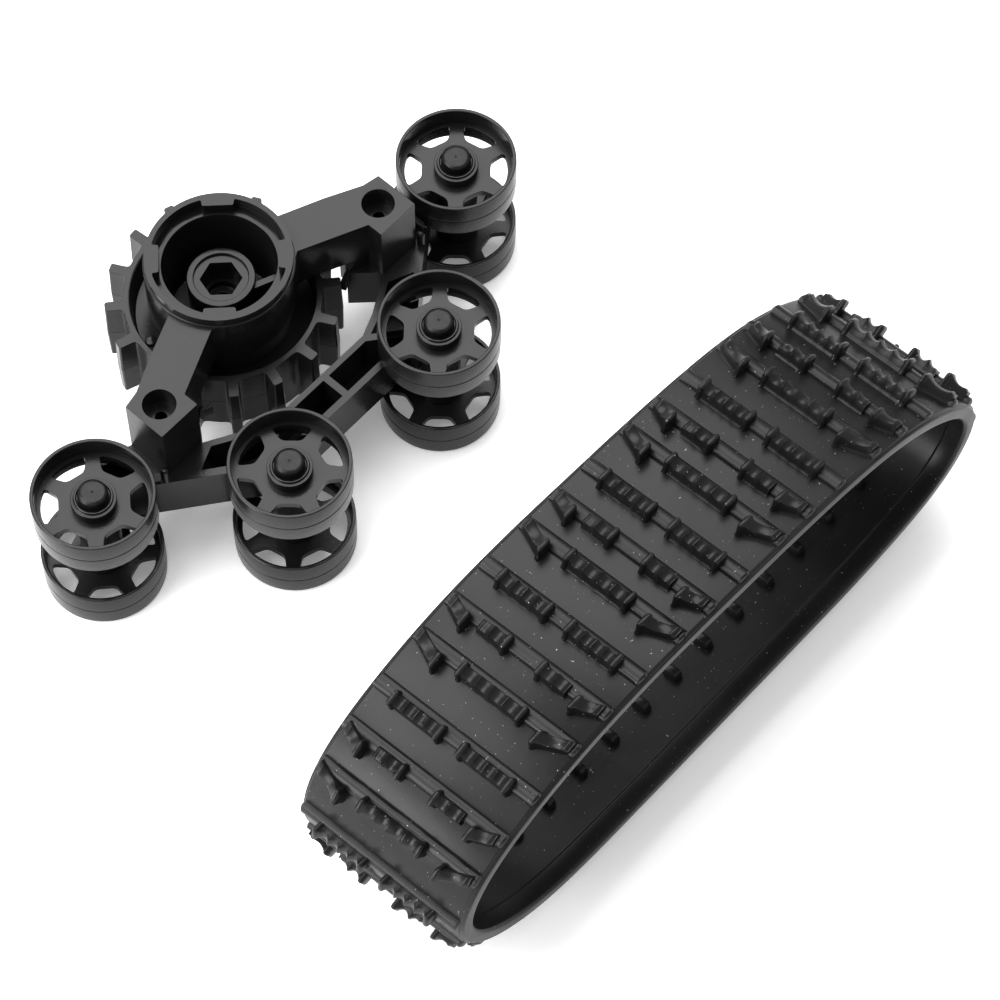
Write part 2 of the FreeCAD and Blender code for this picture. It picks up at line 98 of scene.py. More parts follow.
# Drive hub.
HUB_RADIUS = 13.0
HUB_TOP = 33.2
HUB_BOTTOM = 8.0
CUP_MOUTH_RADIUS = 10.7
CUP_FLOOR_RADIUS = 10.2
CUP_FLOOR = 16.0
RING_RADIUS = 13.75
RING_BASE = 34.0
RING_TOP = 35.8
MOUTH_RADIUS = 12.69
LUG_COUNT = 4
LUG_FOOT_REACH = 12.3
LUG_FOOT_HALF_WIDTH = 3.1
LUG_TIP_REACH = 11.0
LUG_TIP_HALF_WIDTH = 2.9
BOSS_RADIUS = 6.4
BOSS_BORE = 5.1
BOSS_TOP = 28.5
HEX_ACROSS_FLATS = 6.9
HEX_FLOOR = 22.0
HEX_TOP = 27.9
HUB_BORE = 1.6
HUB_SCREW_SEAT = 20.4
CUP_RIB_TURN = -48
CUP_RIB_RADIUS = 8.1
CUP_RIB_TOP = 27.1

# Toothed ring: two bowls, back to back, and the rivets through them.
TOOTH_COUNT = 16
TOOTH_TURN = 4.5
TOOTH_ROOT_RADIUS = 18.6
TOOTH_BASE = (22.3, 1.15)
TOOTH_END = (22.12, 1.02)
TOOTH_HEIGHT = 7.85
BOWL_OUTER_RADIUS = 17.8
BOWL_HEIGHT = 7.6
BOWL_FLOOR = 2.25
UPPER_BOWL_BORE = 12.8
LOWER_BOWL_BORE = 6.2
RIVET_CIRCLE = 15.2
RIVET_TURN = 69.5
RIVET_COUNT = 4

# Frame.
COLLAR_BORE = 13.1
COLLAR_RADIUS = 14.05
COLLAR_BASE = 33.0
COLLAR_TOP = 34.0
COLLAR_NUB_TURNS = (83.0, 12.5)
RAIL_BOTTOM = 9.0
RAIL_TOP = 19.8
PEG_PLACE = (34.3, -18.6)

# Rubber track.
TRACK_FAR_Y = -85.4
TRACK_WIDTH = 36.0
TRACK_SKEW = 1.5
BAND_THICKNESS = 3.3
STATIONS_PER_ROW = 12
ROW_COUNT = 36
FIRST_ROW = 7.9
# How far each row of the repeating pattern of three stands off an even spacing.
ROW_SHIFTS = (0.0, -0.35, -1.3)
# Points (x, z), in wheel radii, of the inside of the sagging loop.
LOOP_SHAPE = [
    (-2.2, 0.56), (0.2, 0.55), (2.6, 0.56), (4.6, 0.74), (5.75, 1.3), (6.03, 2.2), (5.45, 3.18),
    (4.1, 4.1), (2.1, 4.6), (-0.2, 4.8), (-2.4, 4.79), (-4.2, 4.3), (-5.25, 3.5), (-5.52, 2.6),
    (-5.0, 1.5), (-3.9, 0.78),
]
LUG_HEIGHT = 3.0
CREST_HEIGHT = 2.72
KNOB_LENGTH = 1.1
KNOB_BULGE = 0.42
RIB_HALF_LENGTH = 1.56
RIB_RISE = 1.15
NUB_ACROSS = 12.6
# A nub's sections, from its root in the band to its tip: (half-length, height on the loop).
NUB_SECTIONS = ((1.1, 0.7), (1.1, 0.3), (0.9, -1.2), (0.65, -1.5))

# Light and camera, in metres except the camera's millimetres.
LIGHT_AIM = Vector((0.0, -0.06, 0.0))
# Each light's name, place, size and watts.
LIGHTS = (
    ("key_light", (0.42, 0.37, 1.06), 1.0, 12.0),
    ("side_light", (-0.55, 0.40, 1.0), 0.8, 10.0),
    ("fill_light", (-1.0, 0.22, 0.26), 0.6, 7.0),
)
WORLD_STRENGTH = 0.75
VIEW_GAMMA = 0.74
CAMERA_PLACE = (-243.009, -285.522, 640.127)
CAMERA_TARGET = (11.422, -59.541, 0.0)
CAMERA_ROLL = 0.6086
CAMERA_LENS = 138.96


def to_row(x, y, z):
    """Turn millimetres, with the height from the ground, into the row frame's metres."""
    return Vector((x * MM, y * MM, z * MM + GROUND))


# ---------------------------------------------------------------- materials


class NodeTree:
    """A short way to add and join shader nodes."""

    def __init__(self, name):
        self.material = bpy.data.materials.new(name)
        self.material.use_nodes = True
        self.nodes = self.material.node_tree.nodes
        self.links = self.material.node_tree.links
        self.shader = self.nodes["Principled BSDF"]
        self.place = self.add("ShaderNodeTexCoord").outputs["Object"]

    def add(self, kind, **settings):
        """Add a node with some of its properties set."""
        node = self.nodes.new(kind)
        for name, setting in settings.items():
            setattr(node, name, setting)
        return node

    def noise(self, scale, detail=4.0, rough=0.5, stretch=None):
        """Give a noise value; scale counts cells per metre, and stretch squeezes them by axis."""
        source = self.place
        if stretch:
            mapping = self.add("ShaderNodeMapping")
            mapping.inputs["Scale"].default_value = stretch
            mapping.inputs["Rotation"].default_value = (0.2, 0.4, 0.9)
            self.links.new(source, mapping.inputs["Vector"])
            source = mapping.outputs["Vector"]
        node = self.add("ShaderNodeTexNoise")
        node.inputs["Scale"].default_value = scale
        node.inputs["Detail"].default_value = detail
        node.inputs["Roughness"].default_value = rough
        self.links.new(source, node.inputs["Vector"])
        return node.outputs["Fac"]

    def ramp(self, value, stops):
        """Turn a value into a colour through (position, colour) stops."""
        node = self.add("ShaderNodeValToRGB")
        elements = node.color_ramp.elements
        while len(elements) < len(stops):
            elements.new(0.5)
        for element, (position, colour) in zip(elements, stops):
            element.position = position
            element.color = (*colour, 1.0)
        self.links.new(value, node.inputs["Fac"])
        return node.outputs["Color"]

    def mix(self, factor, first, second):
        """Mix two colour sockets by a factor socket."""
        node = self.add("ShaderNodeMix", data_type="RGBA")
        colour_a, colour_b, colour_result = 6, 7, 2
        self.links.new(factor, node.inputs["Factor"])
        self.links.new(first, node.inputs[colour_a])
        self.links.new(second, node.inputs[colour_b])
        return node.outputs[colour_result]

    def span(self, value, low, high, start=0.0, end=1.0):
        """Map a value between low and high onto start to end."""
        node = self.add("ShaderNodeMapRange")
        for name, number in (("From Min", low), ("From Max", high), ("To Min", start), ("To Max", end)):
            node.inputs[name].default_value = number
        self.links.new(value, node.inputs["Value"])
        return node.outputs["Result"]

    def bump(self, heights):
        """Join (value, strength, distance) heights into one normal."""
        normal = None
        for value, strength, distance in heights:
            node = self.add("ShaderNodeBump")
            node.inputs["Strength"].default_value = strength
            node.inputs["Distance"].default_value = distance
            self.links.new(value, node.inputs["Height"])
            if normal:
                self.links.new(normal, node.inputs["Normal"])
            normal = node.outputs["Normal"]
        self.links.new(normal, self.shader.inputs["Normal"])

    def set(self, name, value):
        """Join a socket to the shader, or set a plain number on it."""
        if isinstance(value, bpy.types.NodeSocket):
            self.links.new(value, self.shader.inputs[name])
        else:
            self.shader.inputs[name].default_value = value


def grey(level):
    """A neutral colour."""
    return (level, level, level)


def make_plastic(name, dark, light, rough_low, rough_high):
    """Moulded plastic: fine grain, cloudy gloss and a few light handling scratches."""
    tree = NodeTree(name)
    cloud = tree.noise(70.0, detail=5.0)
    grain = tree.noise(2600.0, detail=2.0)
    scratch = tree.noise(260.0, detail=3.0, rough=0.7, stretch=(1.0, 14.0, 6.0))
    marks = tree.ramp(scratch, [(0.0, grey(0.0)), (0.68, grey(0.0)), (0.74, grey(1.0))])
    colour = tree.ramp(cloud, [(0.3, grey(dark)), (0.75, grey(light))])
    worn = tree.ramp(grain, [(0.3, grey(2.0 * light)), (0.8, grey(3.0 * light))])
    tree.set("Base Color", tree.mix(tree.span(marks, 0.0, 1.0, 0.0, 0.35), colour, worn))
    tree.set("Roughness", tree.span(cloud, 0.3, 0.7, rough_low, rough_high))
    tree.bump([(grain, 0.10, 0.0002), (scratch, 0.05, 0.0004)])
    tree.set("Specular IOR Level", 0.5)
    return tree.material


def make_pin_metal():
    """Black-finished steel with a fine grain, cloudy in colour and gloss."""
    tree = NodeTree("blackened_steel")
    cloud = tree.noise(400.0, detail=4.0)
    grain = tree.noise(4000.0, detail=2.0)
    tree.set("Base Color", tree.ramp(cloud, [(0.3, grey(0.012)), (0.8, grey(0.035))]))
    tree.set("Metallic", 0.35)
    tree.set("Roughness", tree.span(cloud, 0.3, 0.7, 0.2, 0.34))
    tree.bump([(grain, 0.08, 0.0002)])
    return tree.material


def make_rubber():
    """Moulded rubber: satin, slightly dusty, with sparse light specks and fine grain."""
    tree = NodeTree("track_rubber")
    cloud = tree.noise(45.0, detail=6.0)
    grain = tree.noise(1800.0, detail=3.0)
    specks = tree.noise(2300.0, detail=1.0, rough=0.3)
    bloom = tree.ramp(cloud, [(0.3, grey(0.014)), (0.75, grey(0.028))])
    dust = tree.ramp(grain, [(0.3, grey(0.25)), (0.8, grey(0.5))])
    tree.set("Base Color", tree.mix(tree.span(specks, 0.765, 0.80), bloom, dust))
    tree.set("Roughness", tree.span(cloud, 0.3, 0.7, 0.27, 0.42))
    tree.bump([(cloud, 0.06, 0.002), (grain, 0.10, 0.00012)])
    tree.set("Specular IOR Level", 0.45)
    return tree.material


FRAME_PLASTIC = make_plastic("frame_plastic", dark=0.015, light=0.023, rough_low=0.14, rough_high=0.26)
WHEEL_PLASTIC = make_plastic("wheel_plastic", dark=0.017, light=0.025, rough_low=0.17, rough_high=0.29)
HUB_PLASTIC = make_plastic("hub_plastic", dark=0.014, light=0.022, rough_low=0.12, rough_high=0.24)
PIN_METAL = make_pin_metal()
TRACK_RUBBER = make_rubber()

# ---------------------------------------------------------------- outlines and meshes


def rounded(corners, radius, steps=3):
    """Round every corner of a closed outline with a short arc."""
    points = []
    count = len(corners)
    for number in range(count):
        before, here, after = (Vector(corners[(number + step) % count]) for step in (-1, 0, 1))
        reach_in = min(radius, 0.45 * (before - here).length)
        reach_out = min(radius, 0.45 * (after - here).length)
        start = here + (before - here).normalized() * reach_in
        end = here + (after - here).normalized() * reach_out
        for step in range(steps + 1):
            t = step / steps
            points.append(tuple(start * (1 - t) ** 2 + here * 2 * t * (1 - t) + end * t ** 2))
    return points


def rectangle(left, right, low, high):
    """The corners of a rectangle, such as the section of a tube."""
    return [(left, low), (right, low), (right, high), (left, high)]


def circle(radius, centre=(0.0, 0.0), steps=96, start=0.0):
    """The points of a circle, or of a regular polygon, from a start angle."""
    angles = [math.radians(start) + 2 * math.pi * step / steps for step in range(steps)]
    return [(centre[0] + radius * math.cos(angle), centre[1] + radius * math.sin(angle))
            for angle in angles]


def turned(corners, degrees, centre=(0.0, 0.0)):
    """Turn points about an upright axis through the origin, then move them to a centre."""
    cos, sin = math.cos(math.radians(degrees)), math.sin(math.radians(degrees))
    return [(centre[0] + x * cos - y * sin, centre[1] + x * sin + y * cos) for x, y in corners]


def lathe(bm, profile, centre=(0.0, 0.0), steps=96):
    """Turn a closed outline of (radius, height) points about an upright axis."""
    rings = []
    for step in range(steps):
        angle = 2 * math.pi * step / steps
        rings.append([bm.verts.new(to_row(centre[0] + radius * math.cos(angle),
                                          centre[1] + radius * math.sin(angle), height))
                      for radius, height in profile])
    on_axis = [radius < 1e-6 for radius, _height in profile]
    for step in range(steps):
        here, there = rings[step], rings[(step + 1) % steps]
        for number in range(len(profile)):
            following = (number + 1) % len(profile)
            if not (on_axis[number] and on_axis[following]):
                bm.faces.new((here[number], there[number], there[following], here[following]))


def prism(bm, outline, low, high, holes=(), top=None):
    """Raise an outline with holes from low to high; top gives the upper outline where it differs."""
    lower_loops = [outline, *holes]
    upper_loops = [top or outline, *holes]
    rings = [[[bm.verts.new(to_row(x, y, height)) for x, y in loop] for loop in group]
             for group, height in ((lower_loops, low), (upper_loops, high))]
    for lower, upper in zip(*rings):
        for number in range(len(lower)):
            following = (number + 1) % len(lower)
            bm.faces.new((lower[number], lower[following], upper[following], upper[number]))
    for group, flat in ((rings[0], lower_loops), (rings[1], upper_loops)):
        vertices = [vertex for ring in group for vertex in ring]
        for face in tessellate_polygon([[Vector((x, y, 0)) for x, y in loop] for loop in flat]):
            bm.faces.new([vertices[number] for number in face])


def loft(bm, sections):
    """Skin a row of closed sections, and close both ends."""
    rings = [[bm.verts.new(spot) for spot in section] for section in sections]
    for here, there in zip(rings, rings[1:]):
        for number in range(len(here)):
            following = (number + 1) % len(here)
            bm.faces.new((here[number], here[following], there[following], there[number]))
    bm.faces.new(list(reversed(rings[0])))
    bm.faces.new(rings[-1])


def finish_piece(name, bm, body, material, nodes, bevel=0.0, flat_angle=32):
    """Make a piece from a bmesh, join its flat faces, round its edges and hand it to the frame."""
    bmesh.ops.remove_doubles(bm, verts=bm.verts, dist=1e-7)
    bmesh.ops.dissolve_limit(bm, angle_limit=math.radians(0.5), verts=bm.verts, edges=bm.edges,
                             delimit={"NORMAL"})
    bmesh.ops.recalc_face_normals(bm, faces=bm.faces)
    mesh = bpy.data.meshes.new(name)
    bm.to_mesh(mesh)
    bm.free()
    mesh.shade_smooth()
    mesh.set_sharp_from_angle(angle=math.radians(flat_angle))
    mesh.materials.append(material)
    piece = bpy.data.objects.new(name, mesh)
    bpy.context.scene.collection.objects.link(piece)
    if bevel:
        edge = piece.modifiers.new("rounded_edges", "BEVEL")
        edge.width = bevel * MM
        edge.segments = 2
        edge.limit_method = "ANGLE"
        edge.angle_limit = math.radians(38)
        edge.harden_normals = True
    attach(piece, body)
    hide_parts(*nodes)


# ---------------------------------------------------------------- road wheels and axle pins


def make_wheel(side, level):
    """A road wheel: grooved rim, web with six windows, and a stepped hub."""
    x, y, window_turn = AXLES[side]
    upper = level == "upper"

    def height(z):
        """Turn a height within the wheel, which counts towards its open face, into one from the ground."""
        return PAIR_WIDTH - WHEEL_WIDTH + z if upper else WHEEL_WIDTH - z

    def section(corners, radius):
        """A lathe profile at the wheel's own height."""
        return rounded([(r, height(z)) for r, z in corners], radius)

    rim_inside = WHEEL_RADIUS - RIM_WALL
    web_top = WHEEL_WIDTH - WEB_DROP
    web_base = web_top - WEB_THICKNESS
    groove = WHEEL_WIDTH / 2
    bm = bmesh.new()
    lathe(bm, section([
        (rim_inside + RIM_FLARE, 0.0),
        (WHEEL_RADIUS - RIM_DRAFT, 0.0),
        (WHEEL_RADIUS, groove - GROOVE_HALF_WIDTH),
        (WHEEL_RADIUS - GROOVE_DEPTH, groove),
        (WHEEL_RADIUS, groove + GROOVE_HALF_WIDTH),
        (WHEEL_RADIUS - RIM_DRAFT, WHEEL_WIDTH),
        (rim_inside + RIM_FLARE, WHEEL_WIDTH),
        (rim_inside, web_top),
        (rim_inside, web_base),
    ], radius=0.28), (x, y))
    bore = PIN_RADIUS + PIN_CLEARANCE
    lathe(bm, section([
        (bore, 0.0),
        (WHEEL_HUB_RADIUS, 0.0),
        (WHEEL_HUB_RADIUS, WHEEL_WIDTH - WHEEL_HUB_DROP),
        (HUB_STEP_RADIUS, WHEEL_WIDTH - WHEEL_HUB_DROP),
        (HUB_STEP_RADIUS, WHEEL_WIDTH - HUB_STEP_DROP),
        (HUB_RECESS_RADIUS, WHEEL_WIDTH - HUB_STEP_DROP),
        (HUB_RECESS_RADIUS, WHEEL_WIDTH - HUB_RECESS_DROP),
        (bore, WHEEL_WIDTH - HUB_RECESS_DROP),
    ], radius=0.16), (x, y))
    # The lower wheel's windows stand half a window's turn from the upper wheel's.
    spacing = 360 / WINDOW_COUNT
    first_turn = window_turn if upper else window_turn + spacing / 2
    outline = rounded(WINDOW, radius=0.8)
    windows = [turned(outline, first_turn + spacing * number, (x, y)) for number in range(WINDOW_COUNT)]
    low, high = sorted((height(web_base), height(web_top)))
    # The web runs a little way into the rim and into the hub.
    prism(bm, circle(rim_inside + 0.2, (x, y)), low, high,
          holes=[circle(WHEEL_HUB_RADIUS - 0.2, (x, y)), *windows])
    body = f"{side}_wheel_{'top' if upper else 'bottom'}"
    finish_piece(f"{side}_wheel_{level}_moulding", bm, body, WHEEL_PLASTIC,
                 [f"{side}_wheel_{level}"], bevel=0.18)


def make_pins():
    """The headed axle pins, each a piece, and their pressed caps as one group."""
    caps = bmesh.new()
    for side, (x, y, _window_turn) in AXLES.items():
        bm = bmesh.new()
        lathe(bm, [
            (0.0, PIN_FOOT),
            (PIN_RADIUS - 0.3, PIN_FOOT),
            (PIN_RADIUS, PIN_FOOT + 0.3),
            (PIN_RADIUS, PIN_HEAD_BASE),
            (PIN_HEAD_RADIUS - 0.2, PIN_HEAD_BASE),
            (PIN_HEAD_RADIUS, PIN_HEAD_BASE + 0.15),
            (PIN_HEAD_RADIUS, PIN_HEAD_TOP - 0.65),
            (PIN_HEAD_RADIUS - 0.08, PIN_HEAD_TOP - 0.38),
            (PIN_HEAD_RADIUS - 0.3, PIN_HEAD_TOP - 0.15),
            (PIN_HEAD_RADIUS - 0.65, PIN_HEAD_TOP - 0.03),
            (PIN_HEAD_RADIUS - 1.0, PIN_HEAD_TOP),
            (0.24, PIN_HEAD_TOP),
            (0.16, PIN_HEAD_TOP - 0.06),
            (0.0, PIN_HEAD_TOP - 0.1),
        ], (x, y), steps=72)
        finish_piece(f"{side}_axle_pin_turned", bm, "frame", PIN_METAL, [f"{side}_axle_pin"])
        cap = rectangle(PIN_RADIUS, PIN_HEAD_RADIUS, PIN_FOOT, CAP_TOP)
        lathe(caps, rounded(cap, radius=0.2), (x, y), steps=64)
    finish_piece("axle_caps_pressed", caps, "frame", PIN_METAL, ["axle_caps"])


for wheel_side in AXLES:
    for wheel_level in ("upper", "lower"):
        make_wheel(wheel_side, wheel_level)
make_pins()

# ---------------------------------------------------------------- drive hub and toothed ring


def mouth_outline(arc_steps=16):
    """The cup's mouth: a circle with four lugs that reach in from it."""
    points = []
    between = 360 / LUG_COUNT
    arc = between - 2 * math.degrees(math.asin(LUG_FOOT_HALF_WIDTH / LUG_FOOT_REACH))
    for number in range(LUG_COUNT):
        lug_turn = between * (number + 0.5)
        points.extend(turned([
            (LUG_FOOT_REACH, -LUG_FOOT_HALF_WIDTH),
            (LUG_TIP_REACH, -LUG_TIP_HALF_WIDTH),
            (LUG_TIP_REACH, LUG_TIP_HALF_WIDTH),
            (LUG_FOOT_REACH, LUG_FOOT_HALF_WIDTH),
        ], lug_turn))
        arc_start = lug_turn + (between - arc) / 2
        for step in range(1, arc_steps):
            points.extend(turned([(MOUTH_RADIUS, 0.0)], arc_start + arc * step / arc_steps))
    return rounded(points, radius=0.35)


def make_hub():
    """The cup with its lugged mouth ring, and the boss with a hexagonal socket."""
    bm = bmesh.new()
    lathe(bm, rounded([
        (BOSS_RADIUS - 0.4, MID_PLANE),
        (HUB_RADIUS, MID_PLANE),
        (HUB_RADIUS, HUB_TOP),
        (CUP_MOUTH_RADIUS, HUB_TOP),
        (CUP_FLOOR_RADIUS, CUP_FLOOR),
        (BOSS_RADIUS - 0.4, CUP_FLOOR),
    ], radius=0.2), steps=128)
    lathe(bm, rounded(rectangle(BOSS_BORE, BOSS_RADIUS, HUB_BOTTOM + 0.1, BOSS_TOP), radius=0.28))
    # The boss is filled up to the socket's floor, round a bore with a seat for a screw's head.
    lathe(bm, rounded([
        (HUB_BORE, HUB_BOTTOM),
        (BOSS_BORE + 0.2, HUB_BOTTOM),
        (BOSS_BORE + 0.2, HEX_FLOOR),
        (3.0, HEX_FLOOR),
        (3.0, HUB_SCREW_SEAT),
        (HUB_BORE, HUB_SCREW_SEAT),
    ], radius=0.12))
    socket = circle(HEX_ACROSS_FLATS / math.sqrt(3), steps=6, start=15)
    prism(bm, circle(BOSS_BORE + 0.2), HEX_FLOOR - 0.1, HEX_TOP, holes=[socket])
    mouth = mouth_outline()
    prism(bm, circle(RING_RADIUS, steps=128), RING_BASE, RING_TOP, holes=[mouth])
    prism(bm, circle(HUB_RADIUS - 0.02, steps=128), HUB_TOP - 0.3, RING_BASE + 0.2, holes=[mouth])
    # One rib stiffens the cup, from its floor almost to the top of the boss.
    rib = rectangle(-2.3, 2.3, -0.6, 0.6)
    rib_place = turned([(CUP_RIB_RADIUS, 0.0)], CUP_RIB_TURN)[0]
    prism(bm, turned(rib, -22, rib_place), CUP_FLOOR - 0.2, CUP_RIB_TOP)
    finish_piece("drive_hub_moulding", bm, "sprocket", HUB_PLASTIC, ["drive_hub"],
                 bevel=0.2)


def gear_outline(tip_radius, half_width):
    """The outline of the square teeth on a round rim, with small fillets at their roots."""
    root = TOOTH_ROOT_RADIUS
    pitch = 360 / TOOTH_COUNT
    # One side of a tooth, from its root to its tip.
    flank = [
        (root, half_width + 0.5),
        (root + 0.25, half_width + 0.12),
        (root + 0.8, half_width),
        (tip_radius - 0.25, half_width - 0.05),
        (tip_radius, half_width - 0.35),
    ]
    tooth = [(x, -y) for x, y in flank] + flank[::-1]
    points = []
    for number in range(TOOTH_COUNT):
        turn = TOOTH_TURN + pitch * number
        points.extend(turned(tooth, turn))
        # Four points carry the round rim over to the next tooth.
        for step in range(1, 5):
            points.extend(turned([(root, 0.0)], turn + pitch * (0.14 + 0.72 * step / 5)))
    return points


def make_bowl(label, way, bore):
    """One toothed bowl; way is 1 for the upper one and -1 for the lower one."""
    bm = bmesh.new()
    base, end = gear_outline(*TOOTH_BASE), gear_outline(*TOOTH_END)
    inside = circle(BOWL_OUTER_RADIUS - 0.2)
    if way > 0:
        prism(bm, base, MID_PLANE, MID_PLANE + TOOTH_HEIGHT, holes=[inside], top=end)
    else:
        prism(bm, end, MID_PLANE - TOOTH_HEIGHT, MID_PLANE, holes=[inside], top=base)
    lathe(bm, rounded([
        (radius, MID_PLANE + way * z) for radius, z in (
            (bore, 0.0),
            (BOWL_OUTER_RADIUS, 0.0),
            (BOWL_OUTER_RADIUS, BOWL_HEIGHT),
            (BOWL_OUTER_RADIUS - 0.35, BOWL_HEIGHT),
            (BOWL_OUTER_RADIUS - 1.0, BOWL_FLOOR),
            (bore, BOWL_FLOOR),
        )
    ], radius=0.2), steps=128)
    finish_piece(f"sprocket_{label}_bowl", bm, "sprocket", WHEEL_PLASTIC,
                 [f"sprocket_{label}_half"], bevel=0.16)


def make_rivets():
    """The four domed rivets through the bowls' floors."""
    bm = bmesh.new()
    for number in range(RIVET_COUNT):
        spot = turned([(RIVET_CIRCLE, 0.0)], RIVET_TURN + 360 / RIVET_COUNT * number)[0]
        lathe(bm, [
            (0.0, 11.72), (0.8, 11.75), (1.08, 11.95), (1.08, 16.95), (0.95, 17.1), (0.6, 17.19), (0.0, 17.2),
        ], spot, steps=40)
    finish_piece("sprocket_rivets_domed", bm, "sprocket", HUB_PLASTIC, ["sprocket_rivets"])


make_hub()
make_bowl("upper", 1, UPPER_BOWL_BORE)
make_bowl("lower", -1, LOWER_BOWL_BORE)
make_rivets()

# ---------------------------------------------------------------- frame


def make_bridge():
    """The upper frame moulding: the CAD shape, with a raised collar and two nubs beside it."""
    bm = bmesh.new()
    bm.from_mesh(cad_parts["frame_bridge"].data)
    collar = rectangle(COLLAR_BORE, COLLAR_RADIUS, COLLAR_BASE, COLLAR_TOP)
    lathe(bm, rounded(collar, radius=0.2), steps=128)
    for turn in COLLAR_NUB_TURNS:
        nub = [(13.7, -0.7), (14.8, -0.5), (14.8, 0.5), (13.7, 0.7)]
        prism(bm, turned(nub, turn), 31.2, 33.6)
    finish_piece("frame_bridge_moulding", bm, "frame", FRAME_PLASTIC,
                 ["frame_bridge"], bevel=0.28)


def make_rail():
    """The lower frame moulding: the CAD shape, with a tab and a deeper wall at each side."""
    bm = bmesh.new()
    bm.from_mesh(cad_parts["frame_rail"].data)
    for side in (1, -1):
        tab = [(side * 17.4, -13.6), (side * 19.9, -12.6), (side * 20.3, -13.6), (side * 17.8, -14.6)]
        prism(bm, tab, 18.0, 20.4)
        # The rail's inner wall is deeper beside the pillar, towards the hub.
        wall = [(side * 22.8, -10.8), (side * 23.3, -7.7), (side * 26.2, -5.9), (side * 31.5, -9.4)]
        prism(bm, wall, RAIL_BOTTOM, RAIL_TOP)
    finish_piece("frame_rail_moulding", bm, "frame", FRAME_PLASTIC,
                 ["frame_rail"], bevel=0.25)


def make_pegs():
    """The two locating pegs with domed ends, one at each side of the rail."""
    bm = bmesh.new()
    for side in (1, -1):
        lathe(bm, [
            (0.0, 19.5), (0.8, 19.5), (0.8, 22.7), (0.72, 23.05), (0.5, 23.3), (0.25, 23.39), (0.0, 23.4),
        ], (side * PEG_PLACE[0], PEG_PLACE[1]), steps=32)
    finish_piece("locating_pegs_domed", bm, "frame", FRAME_PLASTIC, ["locating_pegs"])


make_bridge()
make_rail()
make_pegs()

# ---------------------------------------------------------------- rubber track


class Loop:
    """A smooth closed curve through the loop's points, measured by arc length."""

    def __init__(self, points, samples=64):
        knots = np.array(points) * WHEEL_RADIUS
        count = len(knots)
        chords = np.linalg.norm(np.roll(knots, -1, axis=0) - knots, axis=1)
        # The tangents make the periodic cubic's curvature continuous at every point.
        matrix = np.zeros((count, count))
        sides = np.zeros((count, 2))
        for number in range(count):
            before, after = chords[number - 1], chords[number]
            matrix[number, number - 1] = after
            matrix[number, number] = 2 * (before + after)
            matrix[number, (number + 1) % count] = before
            step_in = (knots[number] - knots[number - 1]) / before
            step_out = (knots[(number + 1) % count] - knots[number]) / after
            sides[number] = 3 * (after * step_in + before * step_out)
        slopes = np.linalg.solve(matrix, sides)
        path = []
        for number in range(count):
            following = (number + 1) % count
            start, end = knots[number], knots[following]
            leave, arrive = slopes[number] * chords[number], slopes[following] * chords[number]
            for t in np.arange(samples) / samples:
                path.append(start * (2 * t**3 - 3 * t**2 + 1) + leave * (t**3 - 2 * t**2 + t)
                            + end * (3 * t**2 - 2 * t**3) + arrive * (t**3 - t**2))
        path.append(path[0])
        self.path = np.array(path)
        steps = np.linalg.norm(np.diff(self.path, axis=0), axis=1)
        self.distance = np.concatenate(([0.0], np.cumsum(steps)))
        self.length = self.distance[-1]

    def at(self, distance):
        """The point at a distance along the loop."""
        distance = distance % self.length
        return np.array([np.interp(distance, self.distance, self.path[:, axis]) for axis in (0, 1)])

    def frame(self, distance, reach=0.2):
        """The point, the tangent and the outward direction, each as (x, z)."""
        ahead, behind = self.at(distance + reach), self.at(distance - reach)
        tangent = (ahead - behind) / np.linalg.norm(ahead - behind)
        return self.at(distance), tangent, np.array((tangent[1], -tangent[0]))


LOOP = Loop(LOOP_SHAPE)
PITCH = LOOP.length / ROW_COUNT


def place_on(base, along, across, out):
    """A spot of the row frame, from distances along, across and out of one place on the loop."""
    point, tangent, outward = base
    spot = point + tangent * along + outward * out
    lean = TRACK_SKEW * (across / TRACK_WIDTH - 1)
    return to_row(spot[0] + lean, TRACK_FAR_Y - across, spot[1])


def smooth(t):
    """Ease from nought to one."""
    t = min(1.0, max(0.0, t))
    return t * t * (3 - 2 * t)


def add_rib(bm, base, steps=10, sunk=-0.4):
    """The low half-round rib that runs across the band under a row's lugs."""
    arc = []
    for step in range(steps + 1):
        angle = math.pi * step / steps
        rise = RIB_RISE * math.sin(angle) ** 0.8 if 0 < step < steps else sunk
        arc.append((RIB_HALF_LENGTH * math.cos(angle), rise))
    # The rib narrows at its ends, just inside the band's edges.
    ends = ((0.62, 0.7), (0.95, 1.0))
    spots = ends + tuple((TRACK_WIDTH - across, grow) for across, grow in reversed(ends))
    loft(bm, [[place_on(base, along * grow, across, BAND_THICKNESS + max(sunk, out * grow))
               for along, out in arc] for across, grow in spots])


def add_bar(bm, base, start, end, shape, step=0.16, flare=0.35):
    """Loft a bar across the band; shape(across) gives its height, low side, high side and shift."""
    count = max(2, round((end - start) / step))
    sections = []
    for number in range(count + 1):
        across = start + (end - start) * number / count
        height, low, high, shift = shape(across)
        foot = min(0.9, 0.36 * height)
        edge = min(0.4, 0.3 * height)
        # One side of the bar, from its flared foot in the band to its rounded top.
        rising = [(-flare, -0.5), (-flare, 0.0), (-0.3 * flare, 0.3 * foot), (0.0, foot),
                  (0.12, height - edge), (0.24, height - 0.3 * edge), (0.5, height)]
        corners = [(low + inward, out) for inward, out in rising]
        corners += [(high - inward, out) for inward, out in reversed(rising)]
        sections.append([place_on(base, shift + along, across, BAND_THICKNESS + out)
                         for along, out in corners])
    loft(bm, sections)


